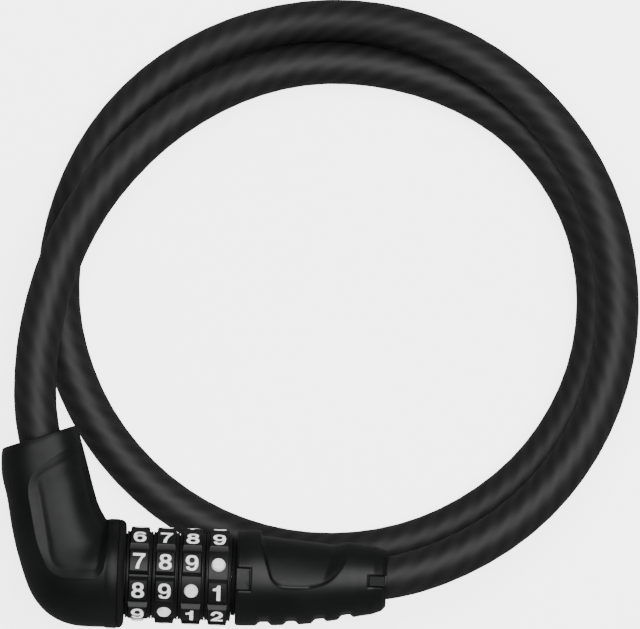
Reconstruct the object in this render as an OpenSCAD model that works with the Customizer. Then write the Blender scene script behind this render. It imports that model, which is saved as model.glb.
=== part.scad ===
// Coiled cable lock with four number dials, lying flat on a table.
// The frame's origin is the middle of the cable's loop, on the surface that the cable lies on.
// +X runs along the bolt, from the elbow to the housing. +Z points up, to the side that is read.
// The bolt is fixed in the elbow. It slides along -X out of the slotted barrel and the four dials
// when the gates of all four tumblers stand in line with the lugs, as they do here.

/* [Cable] */
// Diameter of the cable over its plastic jacket
cable_d = 12; // [10:0.5:12]
// Diameter of the bare steel rope inside the jacket
rope_d = 6.4; // [5:0.1:7]

/* [Lock] */
// Height of the bolt's axis over the table
axis_z = 24; // [24:0.5:27]
// Distance of the bolt's axis from the middle of the loop
axis_y = -76.5; // [-77:0.5:-76]
// How far the bolt slides to leave the barrel
bolt_travel = 34; // [33:1:40]

/* [Dials] */
// Length of one dial and its gap; the elbow moves out with the stack
dial_pitch = 7.45; // [7:0.05:8.5]
// Right edge of the stack of dials
stack_end_x = -25.9; // [-26:0.05:-25.85]
// Diameter of a dial between its pads
dial_d = 24.7; // [24:0.1:25]
// Diameter over the raised number pads
pad_d = 26.9; // [26:0.1:27.2]
// Length of a pad along the axis
pad_length = 5; // [4:0.1:5.4]
// Diameter of the round dot that stands for zero
dot_d = 3.9; // [3:0.1:4.4]

/* [Mechanism] */
// Diameter of the bolt's shank
shank_d = 6.6; // [6:0.1:6.7]
// Bore of the barrel
bore_d = 6.8; // [6.8:0.1:7]
// Outside diameter of the barrel
barrel_d = 11.2; // [11:0.1:11.3]
// Width of a lug on the bolt
lug_width = 2.2; // [1.8:0.1:2.3]
// Height of a lug's tip from the axis
lug_reach = 6.9; // [6.6:0.1:7]
// Gap between the barrel and a tumbler's web, which the lugs can only pass through its gate
web_gap = 0.2; // [0.15:0.05:0.4]
// Diameter of the recess in which a lug stands while the lock is shut
recess_d = 15; // [14.6:0.1:15.2]
// Outside diameter of a tumbler
tumbler_d = 17.9; // [17.5:0.1:17.9]

/* [Covers] */
// Diameter of the flange at the elbow's foot
flange_d = 30.8; // [29.8:0.2:31]
// Wall of the elbow's covers
wall = 2.3; // [1.8:0.1:2.5]

/* [Hidden] */
$fn = 96;
e = 0.01;

// The cable's middle line: angle round the loop, distance from the loop's middle, and lift,
// from 0 where it lies on the table to 1 at the height of the bolt's axis.
// It leaves the housing, lies on the table for a turn, and climbs over itself to the elbow.
ROUTE = [
    [-81, 76.6, 1], [-73, 77.1, 0.99], [-60, 77.5, 0.94], [-40, 78.6, 0.81], [-20, 79.4, 0.69],
    [0, 80, 0.63], [20, 80.4, 0.62], [40, 80.8, 0.59], [60, 81.3, 0.5], [75, 81.8, 0.36],
    [90, 82, 0.17], [105, 82, 0.05], [120, 81.8, 0], [140, 81.1, 0], [160, 79.7, 0],
    [180, 78, 0], [200, 75.3, 0], [220, 72.7, 0], [240, 70.7, 0], [260, 69.4, 0],
    [280, 69, 0], [305, 69.9, 0], [330, 72.1, 0], [355, 74.2, 0], [380, 75, 0],
    [405, 73.6, 0], [425, 71.4, 0], [440, 70, 0.05], [455, 69.4, 0.16], [475, 69.5, 0.33],
    [490, 70.5, 0.48], [505, 72.5, 0.61], [517, 74.8, 0.68], [528, 77.4, 0.7], [540, 80.8, 0.74],
    [552, 85.1, 0.84], [560, 88.3, 0.95], [566, 90.4, 0.99], [568.6, 91.1, 1],
];
split = 33;

// The route is drawn for an elbow whose foot stands here; its last points move with the elbow
drawn_flange_x = -61.4;
first_moving = 24;
cable_sides = 12;
rings_per_span = 2;

// The dials count down from the camera side: the zero of dial 1 stands at this angle
first_zero = 90;
digit_step = 36;
dial_gap = 0.2;
rim_width = 0.5;
rim_groove = 0.35;
dial_bore_d = 18.1;
dial_slot_d = 19.7;
dial_slot_width = 1.8;
pad_half_angle = 12;
pad_foot_half_angle = 20.5;
dot_top = pad_d / 2 - 0.35;
dot_bevel = 0.5;
stack_x = stack_end_x - 4 * dial_pitch;

// Tumblers, measured from the left edge of their dial's place in the stack
tumbler_start = 0.25;
tumbler_length = 6.95;
web_length = 3.2;
web_bore_d = barrel_d + 2 * web_gap;
gate_width = 2.8;
rib_width = 1.6;
rib_reach = 9.7;
rib_angle = first_zero - 2 * digit_step;
scallop_d = 1;

// Bolt and lugs, measured the same way
lug_start = 4.1;
lug_length = 2.4;
bolt_root_depth = 14.3;
bolt_root_x = stack_x - bolt_root_depth;
tip_chamfer = 0.8;
tip_clearance = 1.3;

// Barrel, with the lugs' keyway on top and the spring strip's groove underneath
barrel_start_x = stack_x - 0.5;
barrel_end_x = -9;
barrel_floor = 3;
bolt_tip_x = barrel_start_x + bolt_travel - tip_clearance;
keyway_width = 2.6;
keyway_end_x = -24;
strip_width = 2;
strip_bottom = 4.5;
strip_thickness = 0.6;
strip_start_x = stack_x + 0.8;
strip_end_x = stack_end_x - 1.1;
strip_bump_reach = 5.65;

// Elbow
flange_x = stack_x - 5.7;
flange_end_x = stack_x - 2.2;
ring_end_x = stack_x - 0.6;
ring_lip = 0.35;
ring_lip_d = 25.2;
core_d = 16;
arm_core_d = 14.4;
corner_height = 10;
corner_overlap = 2;
ferrule_d = 10;
mouth = [-19.9, 36.9];
mouth_angle = -69.6;
cable_depth = 5;
ferrule_length = 14;
cable_hole_d = cable_d + 0.6;
cross_pin_d = 2.5;
cross_pin_x = stack_x - 8.5;
grub_d = 3;

// Sections of the elbow, from its mouth to its flange: the inner and the outer corner in plan,
// measured from where the bolt's axis meets the flange, half the depth, and how square it is
foot_r = flange_d / 2 - 0.2;
ELBOW = [
    [[-9.7, 41.1], [-30.4, 33.8], 11, 2.6],
    [[-9, 39.4], [-30.6, 31.4], 11.4, 2.6],
    [[-7, 33], [-30.2, 26.3], 11.6, 2.6],
    [[-5.1, 26.5], [-28.5, 19.9], 11.9, 2.6],
    [[-3.2, 20.5], [-26.8, 11.4], 12.3, 2.5],
    [[-1.8, 17.5], [-24.6, 3.4], 12.8, 2.4],
    [[-0.9, 16], [-20.9, -6.1], 13.4, 2.3],
    [[-0.5, foot_r + 0.2], [-15.8, -12], 14, 2.2],
    [[-0.2, foot_r], [-8.9, -foot_r + 0.3], foot_r - 0.5, 2.1],
    [[0, foot_r], [0, -foot_r], foot_r, 2],
];
elbow_sides = 32;
end_wall = 3;

// Sunk panel on the front of the elbow, measured the same way, with a step inside its rim
PANEL = [
    [-23.2, 26], [-21.4, 28.8], [-0.6, 41.5], [5.4, 41.5], [1, 5], [0.4, -1.4], [-14.9, -1.8],
    [-18.3, 3],
];
panel_corner = 3.5;
panel_rim = 1.6;
panel_depths = [0.7, 1.3];

// Housing
neck_start_x = -25.75;
housing_x = -24.6;
core_end_x = 11.4;
core_start_d = 20.8;
core_end_d = 15;
bush_end_x = 17.2;
bush_d = 14;
bush_y = 1.2;
bush_tilt = 7.5;
neck_d = 21;
pin_x = -14;
pin_d = 2.5;
index_length = 4.6;
index_width = 6.3;
index_height = 13.25;
index_y = -0.4;
index_plate_length = 1.2;
bush_tab_x = 12.7;
bush_tab_width = 3.2;
bush_tab_height = 9.1;
bush_tab_y = 0.5;
tab_gap = 0.15;

// Sections of the housing's cover: place along the axis, sideways shift and radius
HOUSING = [
    [housing_x, 0, 13], [housing_x + 0.6, 0.05, 13.35], [-19.6, 0.3, 13.5], [-12, 0.2, 13],
    [-5, 0.2, 12.4], [2, 0.4, 11.5], [9, 0.7, 10.4], [14, 0.9, 9.6], [16.5, 1, 8.7],
    [17.5, 1.1, 7.8],
];
housing_sides = 48;

// Thumb scoop in the cover, on the loop's side, and grooves for the fingers on the other side
scoop_start_x = -16.8;
scoop_end_x = 5;
scoop_from = -104;
scoop_to = 9;
scoop_depth = 1.5;
scoop_slope = 2.5;
finger_grooves = [-16.5, -8.8, -0.9, 6.5];
finger_length = 3.4;
finger_depth = 1;
finger_half_angle = 46;

// Position along the axis of a point in dial number i's place in the stack, from 0 to 3
function dial_x(i, along) = stack_x + i * dial_pitch + along;

// Unit vector
function unit(v) = v / norm(v);

// Smooth curve through four values, at t from the second to the third
function blend(a, b, c, d, t) =
    0.5 * (2 * b + (c - a) * t + (2 * a - 5 * b + 4 * c - d) * t * t
        + (3 * b - a - 3 * c + d) * t * t * t);

// Angle, distance and lift of the cable's middle line, at a station counted in points of the route
function station(s) =
    let (
        last = len(ROUTE) - 1,
        i = min(floor(s), last - 1),
        a = ROUTE[max(i - 1, 0)],
        d = ROUTE[min(i + 2, last)]
    )
    blend(a, ROUTE[i], ROUTE[i + 1], d, s - i);

// Share of the elbow's own move that a station of the cable makes with it
function share(s) =
    let (t = min(max((s - first_moving) / (len(ROUTE) - 2 - first_moving), 0), 1))
    t * t * (3 - 2 * t);

// The same point in the frame
function cable_point(s) =
    let (p = station(s))
    [
        p[1] * cos(p[0]) + share(s) * (flange_x - drawn_flange_x),
        p[1] * sin(p[0]),
        cable_d / 2 + p[2] * (axis_z - cable_d / 2),
    ];

// Ring of the cable's outside, square to the middle line
function cable_ring(s) =
    let (
        step = 0.05,
        last = len(ROUTE) - 1,
        ahead = cable_point(min(s + step, last)) - cable_point(max(s - step, 0)),
        along = unit(ahead),
        side = unit(cross(along, [0, 0, 1])),
        top = cross(side, along),
        centre = cable_point(s)
    )
    [for (j = [0 : cable_sides - 1])
        let (angle = j * 360 / cable_sides)
        centre + cable_d / 2 * (cos(angle) * side + sin(angle) * top)];

// Closed solid through a row of rings that have the same number of points
module loft(rings) {
    n = len(rings[0]);
    m = len(rings);
    points = [for (ring = rings) each ring];
    sides = [for (i = [0 : m - 2], j = [0 : n - 1], half = [0, 1])
        let (
            a = i * n + j,
            b = i * n + (j + 1) % n
        )
        half == 0 ? [a, b + n, b] : [a, a + n, b + n]];
    start = [for (j = [0 : n - 1]) j];
    finish = [for (j = [n - 1 : -1 : 0]) (m - 1) * n + j];
    polyhedron(points, concat([start], sides, [finish]), convexity = 8);
}

// Stretch of the cable between two points of the route
module cable(first, last) {
    loft([for (k = [first * rings_per_span : last * rings_per_span]) cable_ring(k / rings_per_span)]);
}

// Puts what stands along Z on the bolt's axis, with its foot at x
module on_axis(x = 0) {
    translate([x, axis_y, axis_z]) rotate([0, 90, 0]) children();
}

// Turns what points along local X to an angle, counted from the top towards the outer side
module facing(angle) {
    rotate([0, 0, 180 + angle]) children();
}

// Round bar or tube on the axis, from one place to another
module bar(from_x, to_x, d) {
    on_axis(from_x) cylinder(d = d, h = to_x - from_x);
}

// Puts what stands along Z in the elbow's arm, pointing inwards, at a depth below the mouth
module in_arm(depth = 0) {
    translate([flange_x + mouth[0], axis_y + mouth[1], axis_z])
        rotate([0, 90, mouth_angle])
            translate([0, 0, depth]) children();
}

// Ring of the elbow, with the corners and the depth pulled in by the same amount
function elbow_ring(s, inset) =
    let (
        along = unit(s[0] - s[1]),
        centre = (s[0] + s[1]) / 2,
        half = norm(s[0] - s[1]) / 2 - inset,
        depth = s[2] - inset,
        power = 2 / s[3]
    )
    [for (j = [0 : elbow_sides - 1])
        let (
            angle = j * 360 / elbow_sides,
            across = half * sign(cos(angle)) * pow(abs(cos(angle)), power),
            up = depth * sign(sin(angle)) * pow(abs(sin(angle)), power)
        )
        [
            flange_x + centre[0] + across * along[0],
            axis_y + centre[1] + across * along[1],
            axis_z + up,
        ]];

// Outside of the elbow
module elbow_outside() {
    loft([for (s = ELBOW) elbow_ring(s, 0)]);
}

// Hollow of the elbow, closed towards the mouth
module elbow_inside() {
    inwards = end_wall * [cos(mouth_angle), sin(mouth_angle)];
    first = ELBOW[1];
    last = ELBOW[len(ELBOW) - 1];
    shut = [first[0] + inwards, first[1] + inwards, first[2], first[3]];
    open = [last[0] + [e, 0], last[1] + [e, 0], last[2], last[3]];
    loft(concat(
        [elbow_ring(shut, wall)],
        [for (i = [2 : len(ELBOW) - 1]) elbow_ring(ELBOW[i], wall)],
        [elbow_ring(open, wall)]
    ));
}

// One half of the elbow's casing: side is 1 for the front and -1 for the back
module elbow_cover(side) {
    block = 6 * flange_d;
    difference() {
        intersection() {
            elbow_outside();
            translate([flange_x - block / 2, axis_y - block / 2, axis_z + (side > 0 ? 0 : -block)])
                cube(block);
        }
        elbow_inside();
        in_arm(-end_wall) cylinder(d = cable_hole_d, h = 3 * end_wall);
    }
}

// Block over the panel's outline, pulled in by a rim, down to a depth below the elbow's outside
module panel_cut(rim, depth) {
    difference() {
        translate([flange_x, axis_y, axis_z + e]) linear_extrude(flange_d)
            offset(r = panel_corner) offset(delta = -panel_corner - rim) polygon(PANEL);
        loft([for (s = ELBOW) elbow_ring(s, depth)]);
    }
}

module elbow_front_cover() {
    color("#232525") difference() {
        elbow_cover(1);
        panel_cut(0, panel_depths[0]);
        panel_cut(panel_rim, panel_depths[1]);
    }
}

module elbow_back_cover() {
    color("#232525") elbow_cover(-1);
}

// Cast metal body in the elbow that holds the bolt and the crimped end of the cable
module elbow_core() {
    corner_x = flange_x + mouth[0] + mouth[1] / -tan(mouth_angle);
    arm = mouth[1] / -sin(mouth_angle);
    color("#8b8d90") difference() {
        union() {
            bar(corner_x - corner_overlap, flange_end_x, core_d);
            translate([corner_x, axis_y, axis_z])
                cylinder(d = core_d + 1, h = corner_height, center = true);
            in_arm(cable_depth) cylinder(d = arm_core_d, h = arm - cable_depth + corner_overlap);
        }
        bar(bolt_root_x, flange_end_x + e, shank_d);
        in_arm(cable_depth - e) cylinder(d = ferrule_d, h = ferrule_length + e);
        translate([cross_pin_x, axis_y, axis_z - core_d]) cylinder(d = cross_pin_d, h = 2 * core_d);
        grub_bore(arm_core_d);
    }
}

// Bore or body of the grub screw that clamps the ferrule, from the back of the elbow's arm
module grub_bore(reach) {
    in_arm(cable_depth + ferrule_length / 2)
        rotate([0, 90, 0]) translate([0, 0, ferrule_d / 2 - 0.4]) cylinder(d = grub_d, h = reach);
}

module elbow_grub_screw() {
    color("#55575a") intersection() {
        grub_bore(arm_core_d);
        in_arm(cable_depth) difference() {
            cylinder(d = arm_core_d - 0.4, h = ferrule_length);
            translate([0, 0, -e]) cylinder(d = ferrule_d, h = ferrule_length + 2 * e);
        }
    }
}

// Crimped sleeve on the rope's end
module ferrule() {
    difference() {
        cylinder(d = ferrule_d, h = ferrule_length);
        translate([0, 0, -e]) cylinder(d = rope_d, h = ferrule_length - 1.5);
    }
}

module elbow_ferrule() {
    color("#a9abad") in_arm(cable_depth) ferrule();
}

module elbow_rope_end() {
    color("#c3c5c7") in_arm(cable_depth) cylinder(d = rope_d, h = ferrule_length - 1.5 - e);
}

// Round flange at the elbow's foot
module elbow_flange() {
    edge = 0.5;
    length = flange_end_x - flange_x;
    color("#202222") on_axis(flange_x) rotate_extrude()
        polygon([
            [core_d / 2, 0], [flange_d / 2 - edge, 0], [flange_d / 2, edge],
            [flange_d / 2, length - edge], [flange_d / 2 - edge, length], [core_d / 2, length],
        ]);
}

// Thin ring that faces the dials and closes the elbow
module elbow_end_ring() {
    edge = 0.6;
    groove = 0.4;
    length = ring_end_x - flange_end_x;
    r = flange_d / 2;
    color("#1b1d1d") on_axis(flange_end_x) rotate_extrude()
        polygon([
            [shank_d / 2, 0], [r - 2 * edge, 0], [r - 2 * edge, groove], [r - edge / 2, groove],
            [r - edge / 2, length + ring_lip - edge], [r - 1.5 * edge, length + ring_lip],
            [ring_lip_d / 2, length + ring_lip], [ring_lip_d / 2, length], [shank_d / 2, length],
        ]);
}

// Steel bolt with one lug for each tumbler
module bolt_shank() {
    color("#b4b7ba") difference() {
        union() {
            bar(bolt_root_x, bolt_tip_x - tip_chamfer, shank_d);
            on_axis(bolt_tip_x - tip_chamfer)
                cylinder(d1 = shank_d, d2 = shank_d - 2 * tip_chamfer, h = tip_chamfer);
            for (i = [0 : 3])
                on_axis(dial_x(i, lug_start)) facing(0)
                    translate([0, -lug_width / 2, 0]) cube([lug_reach, lug_width, lug_length]);
        }
        translate([cross_pin_x, axis_y, axis_z - core_d]) cylinder(d = cross_pin_d, h = 2 * core_d);
    }
}

module bolt_cross_pin() {
    length = core_d - 1;
    color("#909396") translate([cross_pin_x, axis_y, axis_z - length / 2])
        cylinder(d = cross_pin_d, h = length);
}

// Slotted tube that carries the dials, with the keyway for the lugs along its top
module lock_barrel() {
    color("#9b9ea1") difference() {
        bar(barrel_start_x, barrel_end_x, barrel_d);
        bar(barrel_start_x - e, barrel_end_x - barrel_floor, bore_d);
        on_axis(barrel_start_x - e) facing(0)
            translate([0, -keyway_width / 2, 0])
                cube([barrel_d, keyway_width, keyway_end_x - barrel_start_x + e]);
        on_axis(strip_start_x) facing(180)
            translate([strip_bottom, -strip_width / 2, 0])
                cube([barrel_d, strip_width, strip_end_x - strip_start_x]);
        translate([pin_x, axis_y, axis_z - core_d]) cylinder(d = pin_d, h = 2 * core_d);
    }
}

// Spring strip with a bump under each tumbler, pressed down as it is between two clicks
module detent_spring_strip() {
    width = strip_width - 0.2;
    gap = 0.1;
    bump_length = 1.6;
    color("#7d8083") on_axis() facing(180) {
        translate([strip_bottom, -width / 2, strip_start_x + gap])
            cube([strip_thickness, width, strip_end_x - strip_start_x - 2 * gap]);
        for (i = [0 : 3])
            translate([strip_bottom, -width / 2, dial_x(i, tumbler_start + web_length / 2) - bump_length / 2])
                cube([strip_bump_reach - strip_bottom, width, bump_length]);
    }
}

// Washer riveted on the barrel's mouth, which keeps the dials on and lets the lugs through
module barrel_end_washer() {
    length = 0.45;
    color("#17191a") on_axis(barrel_start_x) difference() {
        cylinder(d = neck_d + 2, h = length);
        translate([0, 0, -e]) cylinder(d = barrel_d, h = length + 2 * e);
        facing(0) translate([0, -keyway_width / 2, -e])
            cube([lug_reach + 0.4, keyway_width, length + 2 * e]);
    }
}

// Metal body in the housing that holds the barrel and the other end of the cable
module housing_core() {
    start = housing_x + index_plate_length;
    color("#8b8d90") difference() {
        on_axis(start) cylinder(d1 = core_start_d, d2 = core_end_d, h = core_end_x - start);
        bar(start - e, barrel_end_x, barrel_d);
        housing_ferrule_place(e) cylinder(d = ferrule_d, h = ferrule_length + e);
        translate([pin_x, axis_y, axis_z - core_d]) cylinder(d = pin_d, h = 2 * core_d);
        housing_grub_bore(core_start_d);
    }
}

// Puts what stands along Z in the housing's end, pointing inwards, with its foot where the cable ends
module housing_ferrule_place(back = 0) {
    translate([core_end_x + back, axis_y, axis_z]) rotate([0, -90, 0]) children();
}

module housing_grub_bore(reach) {
    translate([core_end_x - ferrule_length / 2, axis_y, axis_z - ferrule_d / 2 + 0.4 - reach])
        cylinder(d = grub_d, h = reach);
}

module housing_grub_screw() {
    length = 2.2;
    color("#55575a") difference() {
        translate([core_end_x - ferrule_length / 2, axis_y, axis_z - ferrule_d / 2 - length])
            cylinder(d = grub_d, h = length + 1);
        bar(-e, core_end_x, ferrule_d);
    }
}

module housing_ferrule() {
    color("#a9abad") housing_ferrule_place() ferrule();
}

module housing_rope_end() {
    color("#c3c5c7") housing_ferrule_place() cylinder(d = rope_d, h = ferrule_length - 1.5 - e);
}

// Ring between the last dial and the housing
module neck_ring() {
    color("#17191a") on_axis(neck_start_x) difference() {
        cylinder(d = neck_d, h = housing_x - neck_start_x);
        translate([0, 0, -e]) cylinder(d = barrel_d, h = housing_x - neck_start_x + 2 * e);
    }
}

// Cross pin that fixes the barrel in the housing
module barrel_pin() {
    length = 16;
    color("#909396") translate([pin_x, axis_y, axis_z - length / 2]) cylinder(d = pin_d, h = length);
}

// Shape of the index tab, grown by a gap
module index_tab(gap) {
    translate([housing_x - e, axis_y + index_y - index_width / 2 - gap, axis_z])
        cube([index_length + gap + e, index_width + 2 * gap, index_height + gap]);
}

// Plate behind the dials whose tab shows through the cover and marks the row to be read
module index_plate() {
    color("#2a2c2c") difference() {
        union() {
            bar(housing_x, housing_x + index_plate_length, neck_d);
            intersection() {
                index_tab(0);
                on_axis(housing_x) difference() {
                    cylinder(r = index_height, h = index_length);
                    translate([0, 0, index_plate_length]) cylinder(d = core_start_d + 0.2, h = index_length);
                }
            }
        }
        bar(housing_x - 2 * e, housing_x + index_plate_length + e, barrel_d);
    }
}

// Outside of the housing's cover
module housing_outside() {
    loft([for (s = HOUSING)
        [for (j = [0 : housing_sides - 1])
            let (angle = j * 360 / housing_sides)
            [s[0], axis_y + s[1] - s[2] * cos(angle), axis_z + s[2] * sin(angle)]]]);
}

// Plastic sleeve over the housing, with a scoop for the thumb and grooves for the fingers
module housing_cover() {
    start = housing_x + index_plate_length;
    fit = 0.1;
    color("#222424") difference() {
        housing_outside();
        bar(housing_x - e, start, neck_d + 2 * fit);
        on_axis(start - e)
            cylinder(d1 = core_start_d + 2 * fit, d2 = core_end_d + 2 * fit, h = core_end_x - start + e);
        translate([core_end_x - e, axis_y + bush_y, axis_z]) rotate([0, 90, 0])
            cylinder(d = bush_d + 2 * fit, h = 2 * bush_d);
        index_tab(tab_gap);
        bush_tab(tab_gap);
        thumb_scoop();
        for (x = finger_grooves) finger_groove(x);
    }
}

// Radius of the housing's cover at a place along the axis, on the lower or the upper side
function cover_radius(x, side) = lookup(x, [for (s = HOUSING) [s[0], s[2] + side * s[1]]]);

// Hollow of the thumb scoop: a shallow trough that follows the cover's curve
module thumb_scoop() {
    start = cover_radius(scoop_start_x, 0);
    finish = cover_radius(scoop_end_x, 0);
    length = scoop_end_x - scoop_start_x;
    on_axis(scoop_start_x) facing(scoop_from)
        rotate_extrude(angle = scoop_to - scoop_from)
            polygon([
                [start - scoop_depth, scoop_slope], [start + 2, -scoop_slope],
                [finish + 3, length + scoop_slope], [finish - scoop_depth, length - scoop_slope],
            ]);
}

// Hollow of one finger groove, on the side away from the loop
module finger_groove(x) {
    r = cover_radius(x, -1);
    on_axis(x - finger_length / 2) facing(90 - finger_half_angle)
        rotate_extrude(angle = 2 * finger_half_angle)
            polygon([
                [r - finger_depth, 0.8], [r + 2, -1], [r + 2, finger_length + 1],
                [r - finger_depth, finger_length - 0.8],
            ]);
}

// Shape of the bush's tab, grown by a gap
module bush_tab(gap) {
    translate([bush_tab_x - gap, axis_y + bush_tab_y - bush_tab_width / 2 - gap, axis_z])
        cube([bush_end_x + 1 - bush_tab_x + gap, bush_tab_width + 2 * gap, bush_tab_height + 2]);
}

// Bush that grips the cable where it leaves the housing, with the tab that keys the cover
module cable_bush() {
    color("#2a2c2c") difference() {
        union() {
            translate([core_end_x, axis_y + bush_y, axis_z]) rotate([0, 90, 0])
                cylinder(d = bush_d, h = bush_end_x - core_end_x);
            intersection() {
                bush_tab(0);
                translate([core_end_x, axis_y + bush_y, axis_z]) rotate([0, 90, 0])
                    cylinder(
                        r1 = bush_tab_height + 0.9, r2 = bush_tab_height - 1.1,
                        h = bush_end_x - core_end_x
                    );
            }
        }
        translate(cable_point(0.3)) rotate([0, 90, bush_tilt])
            cylinder(d = cable_d + 0.4, h = bush_end_x, center = true);
    }
}

// Ring of a dial, with a thin rim at each edge
function dial_profile() =
    let (
        length = dial_pitch - dial_gap,
        r = dial_d / 2,
        low = r - rim_groove
    )
    [
        [dial_bore_d / 2, 0], [low, 0], [r, rim_groove], [r, rim_width], [low, rim_width + 0.1],
        [low, rim_width + 0.4], [r, rim_width + 0.5], [r, length - rim_width - 0.5],
        [low, length - rim_width - 0.4], [low, length - rim_width - 0.1], [r, length - rim_width],
        [r, length - rim_groove], [low, length], [dial_bore_d / 2, length],
    ];

// Raised pad of one digit, pointing along local X
module pad() {
    top = pad_d / 2 + 1;
    foot = dial_d / 2 - 1;
    flare = (top - foot) / (pad_d / 2 - foot);
    foot_half = foot * sin(pad_foot_half_angle);
    top_half = foot_half + flare * (pad_d / 2 * sin(pad_half_angle) - foot_half);
    linear_extrude(pad_length)
        polygon([[foot, -foot_half], [top, -top_half], [top, top_half], [foot, foot_half]]);
}

// Dial number i, from 0 to 3: nine pads, a dot for zero and ten slots for the tumbler's rib
module dial(i) {
    length = dial_pitch - dial_gap;
    zero = first_zero - i * digit_step;
    color("#1f2121") on_axis(dial_x(i, dial_gap / 2)) {
        difference() {
            union() {
                rotate_extrude() polygon(dial_profile());
                translate([0, 0, (length - pad_length) / 2]) intersection() {
                    cylinder(d = pad_d, h = pad_length);
                    union() for (n = [1 : 9]) facing(zero + n * digit_step) pad();
                }
            }
            for (n = [0 : 9])
                facing(zero + n * digit_step)
                    translate([0, -dial_slot_width / 2, -e])
                        cube([dial_slot_d / 2, dial_slot_width, length + 2 * e]);
        }
        facing(zero) translate([dial_d / 2 - 1, 0, length / 2]) rotate([0, 90, 0])
            union() {
                cylinder(d = dot_d, h = 1);
                translate([0, 0, 1])
                    cylinder(d1 = dot_d, d2 = dot_d - 2 * dot_bevel, h = dot_top - dial_d / 2);
            }
    }
}

module dial_1() {
    dial(0);
}

module dial_2() {
    dial(1);
}

module dial_3() {
    dial(2);
}

module dial_4() {
    dial(3);
}

// Tumbler number i, from 0 to 3: a web with a gate, and the recess in which the lug stands
module tumbler(i) {
    rib_foot = tumbler_d / 2 - 0.5;
    color("#b08d3c") on_axis(dial_x(i, tumbler_start)) difference() {
        union() {
            cylinder(d = tumbler_d, h = tumbler_length);
            facing(rib_angle) translate([rib_foot, -rib_width / 2, 0])
                cube([rib_reach - rib_foot, rib_width, tumbler_length]);
        }
        translate([0, 0, -e]) cylinder(d = web_bore_d, h = tumbler_length + 2 * e);
        translate([0, 0, web_length]) cylinder(d = recess_d, h = tumbler_length);
        facing(0) translate([0, -gate_width / 2, -e])
            cube([lug_reach + 0.2, gate_width, tumbler_length]);
        for (n = [0 : 9])
            facing(180 + n * digit_step + digit_step / 2) translate([web_bore_d / 2, 0, -e])
                cylinder(d = scallop_d, h = web_length + 2 * e, $fn = 24);
    }
}

module tumbler_1() {
    tumbler(0);
}

module tumbler_2() {
    tumbler(1);
}

module tumbler_3() {
    tumbler(2);
}

module tumbler_4() {
    tumbler(3);
}

module cable_elbow_run() {
    color("#1c1c1e") cable(split, len(ROUTE) - 1);
}

module cable_long_run() {
    color("#1c1c1e") cable(0, split);
}

elbow_front_cover();
elbow_back_cover();
elbow_core();
elbow_flange();
elbow_end_ring();
bolt_shank();
bolt_cross_pin();
elbow_ferrule();
elbow_rope_end();
elbow_grub_screw();
cable_elbow_run();
lock_barrel();
barrel_end_washer();
detent_spring_strip();
housing_core();
neck_ring();
barrel_pin();
index_plate();
housing_cover();
cable_bush();
housing_ferrule();
housing_rope_end();
housing_grub_screw();
cable_long_run();
dial_1();
dial_2();
dial_3();
dial_4();
tumbler_1();
tumbler_2();
tumbler_3();
tumbler_4();
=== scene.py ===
import math

import bmesh
import bpy
import numpy as np
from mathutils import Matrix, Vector


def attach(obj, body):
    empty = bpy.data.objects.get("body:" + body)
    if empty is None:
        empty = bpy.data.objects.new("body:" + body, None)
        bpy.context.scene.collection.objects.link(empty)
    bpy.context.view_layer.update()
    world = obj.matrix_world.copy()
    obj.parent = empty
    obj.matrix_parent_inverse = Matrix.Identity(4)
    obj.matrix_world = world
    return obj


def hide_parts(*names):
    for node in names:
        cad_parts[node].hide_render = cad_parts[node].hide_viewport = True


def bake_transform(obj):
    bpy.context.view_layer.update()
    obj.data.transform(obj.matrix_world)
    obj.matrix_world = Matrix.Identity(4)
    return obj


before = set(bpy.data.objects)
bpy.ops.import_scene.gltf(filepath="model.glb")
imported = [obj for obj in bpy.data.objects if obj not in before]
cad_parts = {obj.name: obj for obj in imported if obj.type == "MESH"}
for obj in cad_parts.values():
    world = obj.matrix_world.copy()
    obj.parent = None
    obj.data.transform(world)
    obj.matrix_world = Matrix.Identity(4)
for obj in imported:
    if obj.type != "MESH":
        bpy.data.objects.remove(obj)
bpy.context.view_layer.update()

# Sizes are in millimetres, in the frame of the lock: X along the bolt, Z up from the table. Places
# "in plan" are seen from above. Angles round the bolt start at its top and turn away from the loop.
MM = 0.001
TAU = 2 * math.pi
AXIS_Y = -76.5
AXIS_Z = 24.0


def add_object(name, data):
    made = bpy.data.objects.new(name, data)
    bpy.context.scene.collection.objects.link(made)
    return made


# ---------------------------------------------------------------- camera

def place_camera():
    """A long lens straight above the loop, turned a little so that the lock leans as it lies."""
    lean = math.radians(2.2)
    distance, focus_height, width = 3000.0, 15.0, 180.74
    lens = bpy.data.cameras.new("camera")
    lens.sensor_width = 36.0
    lens.lens = lens.sensor_width * (distance - focus_height) / width
    lens.clip_start, lens.clip_end = 0.1, 50.0
    camera = add_object("camera", lens)
    camera.location = (-3.9 * MM, -1.42 * MM, distance * MM)
    camera.rotation_euler = (0, 0, lean)
    bpy.context.scene.camera = camera


# ---------------------------------------------------------------- curves and outlines

def smooth_step(x, low, high):
    t = np.clip((np.asarray(x, float) - low) / (high - low), 0, 1)
    return t * t * (3 - 2 * t)


def curve_value(values, s):
    """Smooth curve through rows of numbers, at places s counted in rows."""
    values = np.asarray(values, float)
    last = len(values) - 1
    s = np.atleast_1d(np.asarray(s, float))
    i = np.clip(np.floor(s).astype(int), 0, last - 1)
    t = (s - i)[:, None]
    a, b = values[np.maximum(i - 1, 0)], values[i]
    c, d = values[i + 1], values[np.minimum(i + 2, last)]
    return 0.5 * (2 * b + (c - a) * t + (2 * a - 5 * b + 4 * c - d) * t ** 2
                  + (3 * b - a - 3 * c + d) * t ** 3)


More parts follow.
